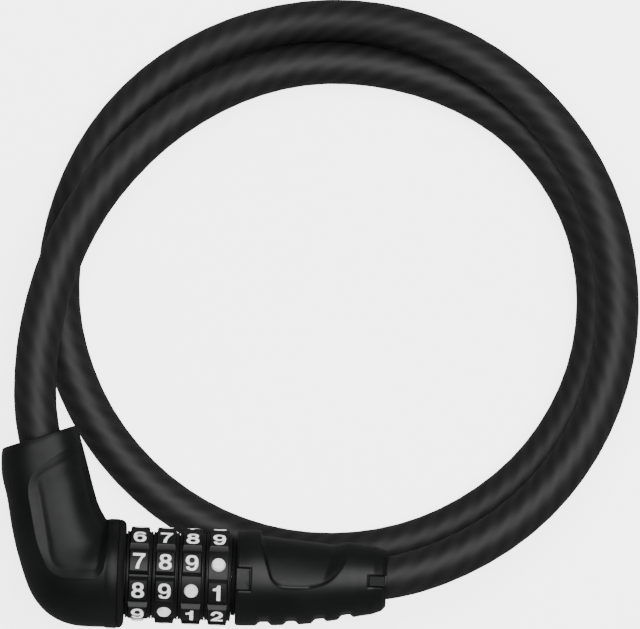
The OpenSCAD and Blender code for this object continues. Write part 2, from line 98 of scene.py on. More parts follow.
def inside_distance(x, y, outline, corner):
    """How far points in plan lie inside an outline with rounded corners; below zero is outside."""
    outline = np.asarray(outline, float)
    middle = outline.mean(axis=0)
    distances = []
    for a, b in zip(outline, np.roll(outline, -1, axis=0)):
        normal = np.array([a[1] - b[1], b[0] - a[0]])
        normal /= np.linalg.norm(normal)
        if normal @ (middle - a) < 0:
            normal = -normal
        distances.append((x - a[0]) * normal[0] + (y - a[1]) * normal[1])
    distances = np.stack(distances)
    nearest = distances.min(axis=0)
    short = np.minimum(distances - corner, 0)
    return np.where(nearest > corner, nearest, corner - np.sqrt((short ** 2).sum(axis=0)))


def rounded_steps(corners, radius, steps):
    """A closed outline of (place, radius) corners with each corner rounded off."""
    corners = np.asarray(corners, float)
    outline = []
    for a, b, c in zip(np.roll(corners, 1, axis=0), corners, np.roll(corners, -1, axis=0)):
        u, v = a - b, c - b
        reach = min(radius, np.linalg.norm(u) / 2.1, np.linalg.norm(v) / 2.1)
        p = b + u / np.linalg.norm(u) * reach
        q = b + v / np.linalg.norm(v) * reach
        for t in np.linspace(0, 1, steps + 1):
            outline.append((1 - t) ** 2 * p + 2 * t * (1 - t) * b + t ** 2 * q)
    return outline


def divided(corners, parts):
    """The closed outline of some corners, with each side divided into equal parts."""
    corners = np.asarray(corners, float)
    shares = np.arange(parts)[:, None] / parts
    return np.concatenate([a + (b - a) * shares for a, b in zip(corners, np.roll(corners, -1, axis=0))])


# ---------------------------------------------------------------- mesh helpers

def add_mesh(name, points, faces, edges=()):
    """A mesh of points in millimetres."""
    mesh = bpy.data.meshes.new(name)
    mesh.from_pydata((np.asarray(points, float) * MM).tolist(), list(edges), faces)
    mesh.update()
    return mesh


def face_outwards(mesh):
    """Turns all faces of closed shells outwards."""
    work = bmesh.new()
    work.from_mesh(mesh)
    bmesh.ops.recalc_face_normals(work, faces=work.faces)
    work.to_mesh(mesh)
    work.free()


def shade(mesh, crease):
    """Smooth shading but for edges sharper than crease degrees."""
    mesh.shade_smooth()
    mesh.set_sharp_from_angle(angle=math.radians(crease))


def add_piece(name, points, faces, material, crease):
    """A closed piece of the lock from points in millimetres."""
    mesh = add_mesh(name, points, faces)
    face_outwards(mesh)
    mesh.materials.append(material)
    shade(mesh, crease)
    return add_object(name, mesh)


def mount(piece, body, slot, *nodes):
    """The piece rides on a body and stands for some of the solids; its slot is not used."""
    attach(piece, body)
    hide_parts(*nodes)


def grid_faces(rows, columns, close_rows=False, close_columns=True):
    """Quads of a grid of points stored row by row."""
    faces = []
    for i in range(rows if close_rows else rows - 1):
        for j in range(columns if close_columns else columns - 1):
            here, after = i * columns, ((i + 1) % rows) * columns
            beside = (j + 1) % columns
            faces.append((here + j, here + beside, after + beside, after + j))
    return faces


def joined(blocks):
    """Points and faces of several blocks as one."""
    points, faces, base = [], [], 0
    for block_points, block_faces in blocks:
        points.append(block_points)
        faces += [tuple(base + k for k in face) for face in block_faces]
        base += len(block_points)
    return np.concatenate(points), faces


def on_axis(x, radius, angle):
    """Point at a place along the bolt, a distance from its axis and an angle round it."""
    return np.stack([
        x * np.ones_like(radius * angle),
        AXIS_Y - radius * np.sin(angle),
        AXIS_Z + radius * np.cos(angle),
    ], axis=-1)


def ring_block(profile, sides, middle=0.0):
    """Points and faces of a ring turned round a line along the bolt, from (place, radius) pairs."""
    profile = np.asarray(profile, float)
    angle = np.arange(sides) * TAU / sides
    points = on_axis(profile[:, :1], profile[:, 1:], angle)
    points[..., 1] += middle
    return points.reshape(-1, 3), grid_faces(len(profile), sides, close_rows=True)


# ---------------------------------------------------------------- node trees

class Nodes:
    """Short ways to add nodes to self.tree."""

    def node(self, kind, inputs=None, **settings):
        """A new node with its settings, and its inputs, which are values or other nodes' outputs."""
        made = self.tree.nodes.new(kind)
        for key, value in settings.items():
            setattr(made, key, value)
        for key, value in (inputs or {}).items():
            if isinstance(value, bpy.types.NodeSocket):
                self.tree.links.new(value, made.inputs[key])
            else:
                made.inputs[key].default_value = value
        return made

    def math(self, operation, *values):
        return self.node("ShaderNodeMath", dict(enumerate(values)), operation=operation).outputs[0]


class Shader(Nodes):
    """A material whose nodes end in one Principled shader."""

    def __init__(self, name, **values):
        self.material = bpy.data.materials.new(name)
        self.material.use_nodes = True
        self.tree = self.material.node_tree
        self.shader = self.tree.nodes["Principled BSDF"]
        for socket, value in values.items():
            self.shader.inputs[socket.replace("_", " ")].default_value = value

    def into(self, socket, source):
        self.tree.links.new(source, self.shader.inputs[socket])

    def place(self, kind="Object"):
        return self.node("ShaderNodeTexCoord").outputs[kind]

    def noise(self, vector, scale, detail=3.0, roughness=0.5):
        return self.node("ShaderNodeTexNoise", {
            "Vector": vector, "Scale": scale, "Detail": detail, "Roughness": roughness}).outputs["Fac"]

    def ramp(self, value, first, second):
        """Runs from one colour to another, each given with its position."""
        made = self.node("ShaderNodeValToRGB", {"Fac": value})
        for element, (position, colour) in zip(made.color_ramp.elements, (first, second)):
            element.position = position
            element.color = (*colour, 1)
        return made.outputs["Color"]

    def spread(self, value, low, high, lowest=0.0):
        """Spreads values that run from lowest to one, so that they run from low to high."""
        return self.node("ShaderNodeMapRange", {
            "Value": value, "From Min": lowest, "To Min": low, "To Max": high}).outputs["Result"]

    def bump(self, height, strength, distance, below=None):
        inputs = {"Height": height, "Strength": strength, "Distance": distance}
        if below:
            inputs["Normal"] = below
        return self.node("ShaderNodeBump", inputs).outputs["Normal"]


class Recipe(Nodes):
    """A geometry node tree with named inputs that ends in Realize Instances and Set Material."""

    def __init__(self, name, **inputs):
        self.tree = bpy.data.node_groups.new(name, "GeometryNodeTree")
        face = self.tree.interface
        for way in ("OUTPUT", "INPUT"):
            face.new_socket(name="Geometry", in_out=way, socket_type="NodeSocketGeometry")
        self.keys = {}
        for key, kind in {**inputs, "Material": "Material"}.items():
            socket = face.new_socket(name=key.replace("_", " "), in_out="INPUT",
                                     socket_type=f"NodeSocket{kind}")
            self.keys[key] = socket.identifier
        self.start = self.tree.nodes.new("NodeGroupInput")

    def input(self, name):
        return self.start.outputs[name]

    def stored(self, geometry, name, value):
        """Geometry that carries a number under a name."""
        return self.node("GeometryNodeStoreNamedAttribute", {
            "Geometry": geometry, "Name": name, "Value": value}, data_type="FLOAT").outputs[0]

    def recalled(self, name):
        return self.node("GeometryNodeInputNamedAttribute", {"Name": name}, data_type="FLOAT").outputs[0]

    def finish(self, geometry):
        real = self.node("GeometryNodeRealizeInstances", {"Geometry": geometry}).outputs[0]
        painted = self.node("GeometryNodeSetMaterial", {
            "Geometry": real, "Material": self.input("Material")}).outputs[0]
        self.node("NodeGroupOutput", {0: painted})
        return self

    def cook(self, name, mesh, material, **values):
        """The plain mesh that the tree makes of a mesh, with the inputs set before it first runs."""
        holder = add_object(name, mesh)
        modifier = holder.modifiers.new("recipe", "NODES")
        modifier.node_group = self.tree
        for key, value in {**values, "Material": material}.items():
            modifier[self.keys[key]] = value
        ready = holder.evaluated_get(bpy.context.evaluated_depsgraph_get())
        made = bpy.data.meshes.new_from_object(ready)
        bpy.data.objects.remove(holder)
        bpy.data.meshes.remove(mesh)
        made.name = name
        return made


# ---------------------------------------------------------------- materials

STRANDS = 8


def moulded_plastic(name, colour, lighter, roughness, grain=0.3, specular=0.21):
    """Moulded plastic: a fine spark-eroded grain, faint flow marks and slightly uneven gloss."""
    s = Shader(name, Specular_IOR_Level=specular)
    place = s.place()
    cloud = s.noise(place, 90, 4)
    fine = s.noise(place, 2600, 2, 0.6)
    scuffs = s.noise(place, 420, 6, 0.7)
    s.into("Base Color", s.ramp(cloud, (0.35, colour), (0.75, lighter)))
    wear = s.math("MULTIPLY", scuffs, s.math("ADD", cloud, 0.5))
    s.into("Roughness", s.spread(wear, roughness - 0.06, roughness + 0.07))
    s.into("Normal", s.bump(fine, grain, 0.00002, s.bump(scuffs, 0.12, 0.00005)))
    return s.material


def cable_plastic():
    """Soft black jacket that shows the strands of the rope twisted under it; its colour carries painted
    highlight on the strands' crests and painted shade in the dips between them.
    """
    s = Shader("cable_jacket", Specular_IOR_Level=0.265)
    place = s.place()
    along, across, _ = s.node("ShaderNodeSeparateXYZ", {0: s.place("UV")}).outputs
    strand = s.math("MULTIPLY", s.math("ADD", along, across), STRANDS * TAU)
    wobble = s.math("MULTIPLY", s.noise(place, 45, 3), 2.6)
    wave = s.math("SINE", s.math("ADD", strand, wobble))
    lift = s.spread(wave, 0.0, 1.0, lowest=-1.0)
    fine = s.noise(place, 1900, 3, 0.6)
    cloud = s.noise(place, 35, 3)
    # Painted highlight and shade: the colour is lighter on the strands' crests and darker in the dips
    # between them, mixed half and half with random tone.
    strand_highlight_and_tone = s.math("ADD", s.math("MULTIPLY", lift, 0.5), s.math("MULTIPLY", cloud, 0.5))
    s.into("Base Color", s.ramp(strand_highlight_and_tone, (0.2, (0.0055, 0.0055, 0.0054)), (0.85, (0.0095, 0.0094, 0.0092))))
    s.into("Roughness", s.spread(fine, 0.5, 0.6))
    s.into("Normal", s.bump(fine, 0.25, 0.00003, s.bump(lift, 0.4, 0.0001)))
    return s.material


def white_print():
    """White moulded figures, a little uneven and rounded off by use."""
    s = Shader("white_figures", Roughness=0.42, Specular_IOR_Level=0.4)
    place = s.place()
    cloud = s.noise(place, 900, 3)
    s.into("Base Color", s.ramp(cloud, (0.3, (0.90, 0.91, 0.91)), (0.7, (0.97, 0.97, 0.96))))
    s.into("Normal", s.bump(s.noise(place, 3000, 2), 0.2, 0.00002))
    return s.material


def metal(name, colour, darker, roughness, streaks=(1, 1, 1), cast=0.0):
    """Bare metal, brushed along one direction or cast with a pitted skin."""
    s = Shader(name, Metallic=1.0)
    stretched = s.node("ShaderNodeMapping", {"Vector": s.place(), "Scale": streaks}).outputs[0]
    lines = s.noise(stretched, 900, 4, 0.6)
    s.into("Base Color", s.ramp(lines, (0.3, darker), (0.7, colour)))
    s.into("Roughness", s.spread(lines, roughness - 0.07, roughness + 0.1))
    pits = s.noise(s.place(), 1500, 3, 0.7)
    s.into("Normal", s.bump(pits, 0.15 + cast, 0.00004, s.bump(lines, 0.15, 0.00003)))
    return s.material


def table_paper():
    """White paper that glows a little, so that shadows on it stay soft."""
    s = Shader("pale_table", Roughness=0.9, Specular_IOR_Level=0.1,
               Emission_Color=(1, 1, 1, 1), Emission_Strength=3.6)
    cloud = s.noise(s.place(), 8, 2)
    s.into("Base Color", s.ramp(cloud, (0.4, (0.84, 0.84, 0.84)), (0.6, (0.86, 0.86, 0.86))))
    return s.material


# ---------------------------------------------------------------- cable

CABLE_D = 12.0
# The cable's middle line: angle round the loop, radius, and height as a share of the way from lying
# on the table up to the bolt's axis
ROUTE = [
    [-81, 76.6, 1], [-73, 77.1, 0.99], [-60, 77.5, 0.94], [-40, 78.6, 0.81], [-20, 79.4, 0.69],
    [0, 80, 0.63], [20, 80.4, 0.62], [40, 80.8, 0.59], [60, 81.3, 0.5], [75, 81.7, 0.36],
    [90, 81.85, 0.17], [105, 81.75, 0.05], [120, 81.6, 0], [140, 81.1, 0], [160, 79.7, 0],
    [180, 78, 0], [200, 75.3, 0], [220, 72.7, 0], [240, 70.7, 0], [260, 69.4, 0],
    [280, 69, 0], [305, 69.9, 0], [330, 72.1, 0], [355, 74.2, 0], [380, 75, 0],
    [405, 73.6, 0], [425, 71.4, 0], [440, 70.2, 0.05], [455, 69.9, 0.16], [475, 70, 0.33],
    [490, 70.75, 0.48], [505, 72.5, 0.61], [517, 74.8, 0.68], [528, 77.4, 0.7], [540, 80.8, 0.74],
    [552, 85.1, 0.84], [560, 88.3, 0.95], [566, 90.4, 0.99], [568.6, 91.1, 1],
]
# Rows of the route where the two lengths meet and where the bend between the bodies starts, and
# the place in plan where it ends
PARTING, BEND_START, BEND_END = 26.0, 30.0, (-81.5, -32.0)
SPACING, JACKET_SIDES = 1.2, 60
# Length of one turn of the rope's strands, and the depth of the jacket's dips between them
LAY = 54.0
RELIEF = 0.05


def cable_line():
    """The cable's middle line as evenly spaced points, the length along it, and its route rows."""
    rows = np.linspace(0, len(ROUTE) - 1, 4001)
    polar = curve_value(ROUTE, rows)
    angle = np.radians(polar[:, 0])
    dense = np.stack([
        polar[:, 1] * np.cos(angle), polar[:, 1] * np.sin(angle),
        CABLE_D / 2 + polar[:, 2] * (AXIS_Z - CABLE_D / 2),
    ], axis=1)
    length = np.concatenate([[0], np.cumsum(np.linalg.norm(np.diff(dense, axis=0), axis=1))])
    steps = np.linspace(0, length[-1], int(round(length[-1] / SPACING)) + 1)
    even = np.stack([np.interp(steps, length, dense[:, k]) for k in range(3)], axis=1)
    return even, steps, np.interp(steps, length, rows)


def cable_recipe():
    """A round jacket swept along a line, let in between the strands that twist under it."""
    r = Recipe("swept_jacket", Radius="Float", Sides="Int", Strands="Int", Lay="Float",
               Relief="Float", Start="Float")
    curve = r.node("GeometryNodeMeshToCurve", {"Mesh": r.input("Geometry")}).outputs[0]
    curve = r.node("GeometryNodeSetCurveNormal", {"Curve": curve}, mode="Z_UP").outputs[0]
    place = r.node("GeometryNodeSplineParameter").outputs["Length"]
    curve = r.stored(curve, "along", r.math("ADD", place, r.input("Start")))
    ring = r.node("GeometryNodeCurvePrimitiveCircle", {
        "Resolution": r.input("Sides"), "Radius": r.input("Radius")}).outputs[0]
    ring = r.stored(ring, "turn", r.node("GeometryNodeSplineParameter").outputs["Factor"])
    tube = r.node("GeometryNodeCurveToMesh", {
        "Curve": curve, "Profile Curve": ring, "Fill Caps": True}).outputs[0]
    turns = r.math("ADD", r.math("DIVIDE", r.recalled("along"), r.input("Lay")), r.recalled("turn"))
    wave = r.math("COSINE", r.math("MULTIPLY", r.math("MULTIPLY", turns, r.input("Strands")), TAU))
    dip = r.math("POWER", r.math("MULTIPLY_ADD", wave, -0.5, 0.5), 1.5)
    depth = r.math("MULTIPLY", dip, r.math("MULTIPLY", r.input("Relief"), -1.0))
    normal = r.node("GeometryNodeInputNormal").outputs[0]
    inwards = r.node("ShaderNodeVectorMath", {0: normal, "Scale": depth}, operation="SCALE").outputs[0]
    return r.finish(r.node("GeometryNodeSetPosition", {"Geometry": tube, "Offset": inwards}).outputs[0])


def jacket(name, line, along, material, recipe):
    """One length of the cable's jacket, with a UV map that counts the twist of its strands."""
    edges = [(k, k + 1) for k in range(len(line) - 1)]
    mesh = recipe.cook(name, add_mesh(name, line, [], edges), material, Radius=CABLE_D / 2 * MM,
                       Sides=JACKET_SIDES, Strands=STRANDS, Lay=LAY * MM, Relief=RELIEF * MM,
                       Start=float(along[0] * MM))
    corner = np.zeros(len(mesh.loops), int)
    mesh.loops.foreach_get("vertex_index", corner)
    counts = []
    for key in ("along", "turn"):
        values = np.zeros(len(mesh.vertices))
        mesh.attributes[key].data.foreach_get("value", values)
        mesh.attributes.remove(mesh.attributes[key])
        counts.append(values[corner])
    place, across = counts
    # the faces that close the round run on to the next turn
    for polygon in mesh.polygons:
        loops = slice(polygon.loop_start, polygon.loop_start + polygon.loop_total)
        if polygon.loop_total == 4 and np.ptp(across[loops]) > 0.5:
            across[loops] += across[loops] < 0.5
    uv = mesh.uv_layers.new(name="twist")
    uv.data.foreach_set("uv", np.stack([place / (LAY * MM), across], axis=1).ravel())
    face_outwards(mesh)
    shade(mesh, crease=60)
    return add_object(name, mesh)


def lay_cable(material):
    """The cable in two lengths: one goes with the housing, the other, by the elbow, rides on no body."""
    line, along, rows = cable_line()
    cut = int(np.searchsorted(rows, PARTING))
    recipe = cable_recipe()
    first = jacket("cable_jacket_long", line[:cut + 1], along[:cut + 1], material, recipe)
    second = jacket("cable_jacket_elbow", line[cut:], along[cut:], material, recipe)
    mount(first, "housing", "cable_jacket", "cable_long_run")
    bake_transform(second)
    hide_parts("cable_elbow_run")


# ---------------------------------------------------------------- elbow

# Plan places of the elbow are counted from its foot on the bolt's axis
FOOT_X = -61.4
# Sections from the mouth to the flange: inner and outer corner in plan, half the depth, and how
# square the section is
ELBOW = [
    [-9.7, 41.1, -30.4, 33.8, 11, 2.6],
    [-9, 39.4, -30.6, 31.4, 11.4, 2.6],
    [-7, 33, -30.2, 26.3, 11.6, 2.6],
    [-5.1, 26.5, -28.5, 19.9, 11.9, 2.6],
    [-3.2, 20.5, -26.8, 11.4, 12.3, 2.5],
    [-1.8, 17.5, -24.6, 3.4, 12.8, 2.4],
    [-0.9, 16, -20.9, -6.1, 13.4, 2.3],
    [-0.5, 15.4, -15.8, -12, 14, 2.2],
    [-0.2, 15.2, -8.9, -14.9, 14.7, 2.1],
    [0, 15.2, 0, -15.2, 15.2, 2],
]
# How many sections are made, and how many points each has on the upper and the lower half
ELBOW_ROWS, UPPER_POINTS, LOWER_POINTS = 210, 170, 60
# Sunk panel in plan; the groove and the ridge along its bevel are shares of its depth
PANEL = [
    [-23.2, 26], [-21.4, 28.8], [-0.6, 41.5], [5.4, 41.5], [1, 5], [0.4, -1.0], [-14.9, -1.4],
    [-18.3, 3],
]
PANEL_CORNER, PANEL_RIM, PANEL_DEPTH, PANEL_GROOVE, PANEL_RIDGE = 3.5, 2.3, 1.05, 0.1, 0.11
SEAM_DEPTH, SEAM_WIDTH = 0.15, 0.2
MOUTH, MOUTH_ANGLE = (-19.9, 36.9), math.radians(-69.6)
MOUTH_R, MOUTH_DEPTH, MOUTH_ROUND = 6.3, 3, 0.4
# The mouth's rim, from the bore outwards: how far in from the skin, and how far out along the cable
MOUTH_RIM = [(1.1, 0.3), (0.5, 0.25), (0.15, 0.1)]
# The flange and the recess in its face: place and radius
FOOT_STEPS = [
    (-61.0, 15.28), (-60.4, 15.4), (-58.05, 15.4), (-57.93, 15.33), (-57.9, 15.2), (-57.9, 8.2),
    (-59.9, 8.2),
]


def elbow_rings(sections, angle, inset):
    """Points round the elbow's sections, with its surface pulled in by an inset."""
    inner, outer = sections[:, 0:2], sections[:, 2:4]
    middle, across = (inner + outer) / 2, inner - outer
    half = np.linalg.norm(across, axis=1)[:, None] / 2
    across = across / (2 * half)
    power = 2 / sections[:, 5:6]
    cos, sin = np.cos(angle), np.sin(angle)
    w = (half - inset) * np.sign(cos) * np.abs(cos) ** power
    h = (sections[:, 4:5] - inset) * np.sign(sin) * np.abs(sin) ** power
    return np.stack([
        FOOT_X + middle[:, 0:1] + w * across[:, 0:1],
        AXIS_Y + middle[:, 1:2] + w * across[:, 1:2],
        AXIS_Z + h,
    ], axis=-1)


def elbow_relief(skin):
    """How deep the panel and the seam between the two halves are let into the elbow's skin."""
    x, y, z = skin[..., 0] - FOOT_X, skin[..., 1] - AXIS_Y, skin[..., 2] - AXIS_Z
    inside = inside_distance(x, y, PANEL, PANEL_CORNER)
    bevel = np.clip(inside / PANEL_RIM, 0, 1)
    # the groove runs along the bevel's foot and the ridge along its top
    bevel += PANEL_GROOVE * (smooth_step(inside, PANEL_RIM - 0.2, PANEL_RIM + 0.5)
                             - smooth_step(inside, PANEL_RIM + 0.5, PANEL_RIM + 2.2))
    bevel -= PANEL_RIDGE * np.exp(-((inside + 0.2) / 0.28) ** 2)
    # the step is shallower at the bottom and fades out towards the panel's top edge
    (x0, y0), (x1, y1) = PANEL[1:3]
    below_top = ((x - x0) * (y1 - y0) - (y - y0) * (x1 - x0)) / math.hypot(x1 - x0, y1 - y0)
    depth = PANEL_DEPTH * (0.4 + 0.6 * smooth_step(y, 1.5, 9.0))
    depth *= 0.3 + 0.7 * smooth_step(below_top, 0.5, 9.0)
    seam = SEAM_DEPTH * np.exp(-(z / SEAM_WIDTH) ** 2)
    return depth * bevel * smooth_step(z, 1, 3) + seam


def elbow_shell(material):
    """The elbow's casing with its foot flange, and the panel sunk behind a bevelled rim on the front."""
    angle = np.concatenate([
        np.linspace(0, math.pi, UPPER_POINTS, endpoint=False),
        np.linspace(math.pi, TAU, LOWER_POINTS, endpoint=False),
    ])
    sections = curve_value(ELBOW, np.linspace(0, len(ELBOW) - 1, ELBOW_ROWS))
    plain = elbow_rings(sections, angle, 0.0)
    skin = elbow_rings(sections, angle, elbow_relief(plain))
    inwards = np.array([math.cos(MOUTH_ANGLE), math.sin(MOUTH_ANGLE), 0])
    side = np.array([-inwards[1], inwards[0], 0])
    hole = (np.array([FOOT_X + MOUTH[0], AXIS_Y + MOUTH[1], AXIS_Z])
            + np.cos(angle)[:, None] * side * MOUTH_R + np.sin(angle)[:, None] * [0, 0, MOUTH_R])
    edge = hole + MOUTH_ROUND * (hole - hole.mean(axis=0)) / MOUTH_R
    layers = [hole + MOUTH_DEPTH * inwards, hole + MOUTH_ROUND * inwards, edge]
    layers += [elbow_rings(sections[:1], angle, inset)[0] - out * inwards for inset, out in MOUTH_RIM]
    layers += list(skin)
    layers += [np.stack([np.full(len(angle), x), AXIS_Y + r * np.cos(angle), AXIS_Z + r * np.sin(angle)],
                        axis=-1) for x, r in FOOT_STEPS]
    piece = add_piece("elbow_shell", np.concatenate(layers),
                      grid_faces(len(layers), len(angle), close_rows=True), material, crease=40)
    mount(piece, "elbow_and_bolt", "cover_plastic",
          "elbow_front_cover", "elbow_back_cover", "elbow_flange")


def elbow_face_ring(material):
    """The ring between the elbow's flange and the dials, with a lip round its rim."""
    profile = rounded_steps([
        (-57.88, 3.3), (-57.88, 15.1), (-57.72, 15.3), (-57.0, 15.2), (-56.3, 14.7),
        (-55.95, 14.0), (-55.95, 12.7), (-56.3, 12.6), (-56.3, 3.3),
    ], radius=0.3, steps=3)
    piece = add_piece("elbow_face_ring", *ring_block(profile, sides=128), material, crease=35)
    mount(piece, "elbow_and_bolt", "trim_plastic", "elbow_end_ring")


# ---------------------------------------------------------------- housing

# Sections of the sleeve: place, middle in plan, radius
HOUSING = [
    [-24.6, 0, 13], [-24.0, 0.05, 13.35], [-19.6, 0.3, 13.5], [-12, 0.2, 13], [-5, 0.2, 12.4],
    [2, 0.4, 11.5], [9, 0.7, 10.4], [14, 0.9, 9.6], [16.5, 1, 8.7], [17.5, 1.1, 7.8],
]
SLEEVE_START, SLEEVE_END = HOUSING[0][0], HOUSING[-1][0]
SLEEVE_ROWS, SLEEVE_POINTS = 200, 300
# Near its end the sleeve curves more, and its sections stand closer
CURVED_END, CURVED_ROWS = 1.2, 10
# The line in plan on which the cable leaves the sleeve
BUSH_MIDDLE = 1.2
# Rounds of points inside the sleeve's two ends: place, middle in plan, radius
START_COLLARS = [(-23.4, 0, 10.6), (-24.6, 0, 10.6), (-24.68, 0, 11.6)]
END_COLLARS = [(17.68, BUSH_MIDDLE, 7.3), (17.68, BUSH_MIDDLE, 7.1), (15.5, BUSH_MIDDLE, 7.1)]
# Finger grooves: places, half length and run-out along the bolt; middle, half width and run-out
# round it in degrees
FINGERS = [-16.5, -8.8, -0.9, 6.5]
FINGER_HALF, FINGER_RUN = 2.4, 1.5
FINGER_MIDDLE, FINGER_SPREAD, FINGER_FADE = 96, 48, 26
# Thumb scoop in plan, and the wider outline from whose edge its depth grows
SCOOP = [
    [-13.8, -1.8], [-1.2, -1.8], [3.8, 1.0], [6.6, 5.4], [7.6, 30], [-20.6, 30], [-18.7, 11],
    [-17.0, 3.4],
]
SCOOP_SIDES = [
    [-14.2, -8], [0.5, -8], [4.6, 0.6], [7.0, 5.4], [8.0, 30], [-20.6, 30], [-18.7, 11],
    [-17.0, 3.4],
]
SCOOP_DEPTH, SCOOP_RUN, SCOOP_CORNER, SCOOP_LIP = 1.65, 8.5, 3.0, 0.11
# Tabs that show through windows of the sleeve: start, end, lower and upper edge in plan
INDEX_TAB = (-24.6, -20.7, -3.0, 3.25)
BUSH_TAB = (12.7, 17.2, -0.7, 2.35)
TAB_GAP = 0.26
# The sleeve is let in this deep under the tabs, and drops a little along the windows' rims
WINDOW_DEPTH, WINDOW_RIM, RIM_DROP = 1.1, 0.35, 0.14
# Columns of points at plus and minus this angle are led along the windows' long sides, in pairs
# that stand close, and the columns out to SLIDE_TO slide along with them
WINDOW_COLUMNS, COLUMN_GAP, SLIDE_TO = 0.3, 0.003, 0.9
# Half the gap between the two sections that stand at a window's end
ROW_GAP = 0.03


def scoop_relief(x, angle, shift, radius):
    """How deep the thumb scoop cuts into the sleeve, with a low lip round it."""
    degrees = np.degrees(angle)
    # past the outline seen from above, the plan runs on down the sleeve's side
    plan_y = np.where(degrees < -90, radius * (1 + np.radians(-90 - degrees)),
                      shift - radius * np.sin(angle))
    sides = smooth_step(inside_distance(x, plan_y, SCOOP_SIDES, 0.5), 0.0,
                        1.9 + 4 * smooth_step(x, -6, 3))
    floor = np.clip((plan_y - SCOOP[0][1]) / SCOOP_RUN, 0, 1)
    inside = inside_distance(x, plan_y, SCOOP, SCOOP_CORNER)
    lip = SCOOP_LIP * np.exp(-((inside - 0.1) / 0.4) ** 2) * (1 - smooth_step(x, 2, 6))
    within = smooth_step(degrees, -125, -95) * (degrees < 60)
    return within * (SCOOP_DEPTH * sides * (2 * floor - floor ** 2) * (inside > 0) - lip)


def finger_relief(x, angle):
    """How deep the finger grooves cut into the sleeve's outer side."""
    nearest = np.abs(x[..., None] - FINGERS).min(axis=-1)
    off_middle = np.abs(np.degrees(angle) - FINGER_MIDDLE)
    return (smooth_step(FINGER_HALF - nearest, 0.0, FINGER_RUN)
            * smooth_step(FINGER_SPREAD - off_middle, 0, FINGER_FADE))


def housing_shell(material):
    """The housing's sleeve: thumb scoop, finger grooves and the two windows for the tabs."""
    index_end, bush_start = INDEX_TAB[1] + TAB_GAP, BUSH_TAB[0] - TAB_GAP
    rows = np.unique(np.round(np.concatenate([
        np.linspace(SLEEVE_START, SLEEVE_END, SLEEVE_ROWS),
        np.linspace(SLEEVE_END - CURVED_END, SLEEVE_END, CURVED_ROWS),
        [place + side * ROW_GAP for place in (index_end, bush_start) for side in (-1, 1)],
    ]), 3))
    shape = curve_value(HOUSING, np.interp(rows, [h[0] for h in HOUSING], range(len(HOUSING))))
    shift, radius = shape[:, 1], shape[:, 2]
    to_bush = smooth_step(rows, -5, 5)

    def window_side(index_edge, bush_edge):
        """Angle of the windows' long side along the sleeve, led over from one window to the other."""
        index, bush = (np.arcsin(np.clip((edge - shift) / radius, -0.9, 0.9))
                       for edge in (index_edge, bush_edge))
        return -((1 - to_bush) * index + to_bush * bush)

    low = window_side(INDEX_TAB[3] + TAB_GAP, BUSH_TAB[3] + TAB_GAP)
    high = window_side(INDEX_TAB[2] - TAB_GAP, BUSH_TAB[2] - TAB_GAP)
    marks = [-WINDOW_COLUMNS, -WINDOW_COLUMNS + COLUMN_GAP, WINDOW_COLUMNS - COLUMN_GAP, WINDOW_COLUMNS]
    columns = np.unique(np.concatenate([
        np.linspace(-math.pi, math.pi, SLEEVE_POINTS, endpoint=False), marks]))
    angle = np.stack([
        np.interp(columns, [-math.pi, -SLIDE_TO, *marks, SLIDE_TO, math.pi],
                  [-math.pi, -SLIDE_TO, a, a + COLUMN_GAP, b - COLUMN_GAP, b, SLIDE_TO, math.pi])
        for a, b in zip(low, high)])

    shift, radius, low, high = (v[:, None] for v in (shift, radius, low, high))
    x = np.repeat(rows[:, None], len(columns), axis=1)
    between = (angle > low + 0.001) & (angle < high - 0.001)
    beside = np.maximum(np.maximum(low - angle, angle - high) * radius, 0)
    beyond = np.minimum(np.maximum(x - index_end, 0), np.maximum(bush_start - x, 0))
    dropped = RIM_DROP * smooth_step(WINDOW_RIM - np.hypot(beside, beyond), 0, WINDOW_RIM)
    window = np.where(between & ((x < index_end) | (x > bush_start)), WINDOW_DEPTH, dropped)
    r = radius - scoop_relief(x, angle, shift, radius) - finger_relief(x, angle) - window
    skin = np.stack([x, AXIS_Y + shift - r * np.sin(angle), AXIS_Z + r * np.cos(angle)], axis=-1)

    def collar(row, place, middle, size):
        return on_axis(place, size, angle[row]) + [0, middle, 0]

    layers = [collar(0, *sizes) for sizes in START_COLLARS] + list(skin)
    layers += [collar(-1, *sizes) for sizes in END_COLLARS]
    piece = add_piece("housing_sleeve", np.concatenate(layers),
                      grid_faces(len(layers), len(columns), close_rows=True), material, crease=40)
    mount(piece, "housing", "cover_plastic", "housing_cover")


def tab_block(tab, foot, top, fall=0.0, chamfer=0.25):
    """Points and faces of a tab with chamfered edges, from a height above the axis up to a round top
    whose radius falls along the bolt."""
    x0, x1, y0, y1 = tab
    outline = divided([(x0, y0), (x1, y0), (x1, y1), (x0, y1)], parts=8)
    centre = outline.mean(axis=0)
    inner = centre + (outline - centre) * (1 - 2 * chamfer / np.ptp(outline, axis=0))

    def crest(plan):
        return np.sqrt((top - fall * (plan[:, 0] - x0)) ** 2 - plan[:, 1] ** 2)

    count = len(outline)
    layers = [
        np.stack([plan[:, 0], AXIS_Y + plan[:, 1], AXIS_Z + rise], axis=1)
        for plan, rise in ((outline, np.full(count, foot)), (outline, crest(outline) - chamfer),
                           (inner, crest(inner)))]
    middle = [[centre[0], AXIS_Y + centre[1], AXIS_Z + top - fall * (centre[0] - x0) - 0.02]]
    faces = grid_faces(3, count) + [tuple(range(count))[::-1]]
    faces += [(2 * count + k, 2 * count + (k + 1) % count, 3 * count) for k in range(count)]
    return np.concatenate(layers + [middle]), faces


def neck(material):
    """The dark neck that fills the room between the last dial and the housing."""
    profile = rounded_steps([(-25.84, 5.75), (-25.84, 10.5), (-24.75, 10.5), (-24.75, 5.75)],
                            radius=0.15, steps=2)
    piece = add_piece("neck_ring_turned", *ring_block(profile, sides=128), material, crease=35)
    mount(piece, "housing", "trim_plastic", "neck_ring")


